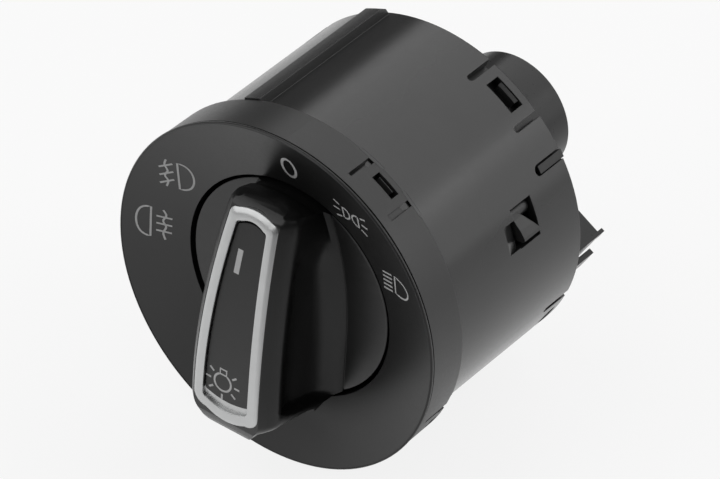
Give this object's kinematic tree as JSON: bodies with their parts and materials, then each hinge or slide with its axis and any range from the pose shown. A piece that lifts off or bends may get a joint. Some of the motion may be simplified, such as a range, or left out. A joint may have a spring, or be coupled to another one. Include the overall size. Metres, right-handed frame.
{
  "type": "headlight switch",
  "caption": "Round rotary dashboard light switch with scooped grip knob, bright grip frame, dished face plate, sprung locking hooks and rear plug shroud",
  "frame": {"origin": "On the turning axis at the panel seat, the rear face of the collar", "axes": "+Y runs along the turning axis into the dashboard, the face looks along -Y, +Z points to the off mark and +X to the driver's right"},
  "size_m": [0.084, 0.0875, 0.084],
  "materials": {
    "face_plate": "dark grey fine-grained satin plastic",
    "collar": "dark grey satin plastic",
    "housing": "dark grey smooth moulded plastic",
    "rear_cover": "dark grey smooth moulded plastic",
    "knob": "near-black satin plastic",
    "panel_insert": "near-black satin plastic",
    "bright_trim": "satin chrome plating",
    "steel": "bright spring steel",
    "contact_bronze": "tinned contact bronze",
    "board": "green board laminate",
    "lamp_white": "small white lamps",
    "light_guide": "clear light-guide plastic",
    "natural_plastic": "natural bearing plastic",
    "ring_plastic": "natural bearing plastic, darker",
    "component_black": "black component bodies",
    "hook_plastic": "dark grey tough plastic"
  },
  "bodies": {
    "switch_body": {"face_plate": "face_plate", "collar": "collar", "housing": "housing", "rear_cover": "rear_cover", "terminal_pins": "contact_bronze", "lamp_board": "board", "leds": "lamp_white", "light_guide": "light_guide", "board_screws": "steel", "detent_spring": "steel", "contact_board": "board", "contact_tracks": "contact_bronze", "electronics": "component_black", "fog_blades": "contact_bronze", "hook_pins": "steel", "lock_spring": "steel"},
    "turning_rotor": {"rotor": "natural_plastic", "rotor_clip": "steel", "wiper_contacts": "contact_bronze"},
    "sliding_knob": {"knob": "knob", "knob_trim": "bright_trim", "knob_insert": "panel_insert", "knob_shaft": "steel", "cross_pin": "steel", "pull_slider": "natural_plastic", "slip_ring": "contact_bronze", "knob_spring": "steel"},
    "release_ring": {"lock_ring": "ring_plastic"},
    "hook_1": {"lock_hook_1": "hook_plastic"},
    "hook_2": {"lock_hook_2": "hook_plastic"}
  },
  "joints": [
    {"name": "knob_turn", "type": "hinge", "parent": "switch_body", "child": "turning_rotor", "pos_m": [0, 0, 0], "axis": [0, 1, 0], "range_deg": [0, 60], "deforming": ["detent_spring"]},
    {"name": "knob_pull", "type": "slide", "parent": "turning_rotor", "child": "sliding_knob", "axis": [0, -1, 0], "range_m": [-0.003, 0.006]},
    {"name": "release_turn", "type": "hinge", "parent": "switch_body", "child": "release_ring", "pos_m": [0, 0, 0], "axis": [0, 1, 0], "range_deg": [-3.95, 0], "stiffness_Nm_per_rad": 0.15, "springref_deg": 1.15, "deforming": ["lock_spring"]},
    {"name": "hook_swing_1", "type": "hinge", "parent": "switch_body", "child": "hook_1", "pos_m": [0.03282, 0.0284, 0.01687], "axis": [0, 1, 0], "range_deg": [0, 26]},
    {"name": "hook_swing_2", "type": "hinge", "parent": "switch_body", "child": "hook_2", "pos_m": [-0.03282, 0.0284, -0.01687], "axis": [0, 1, 0], "range_deg": [0, 26]}
  ],
  "couplings": [
    {"joint": "hook_swing_1", "follows": "release_turn", "ratio": -6.582},
    {"joint": "hook_swing_2", "follows": "release_turn", "ratio": -6.582}
  ]
}
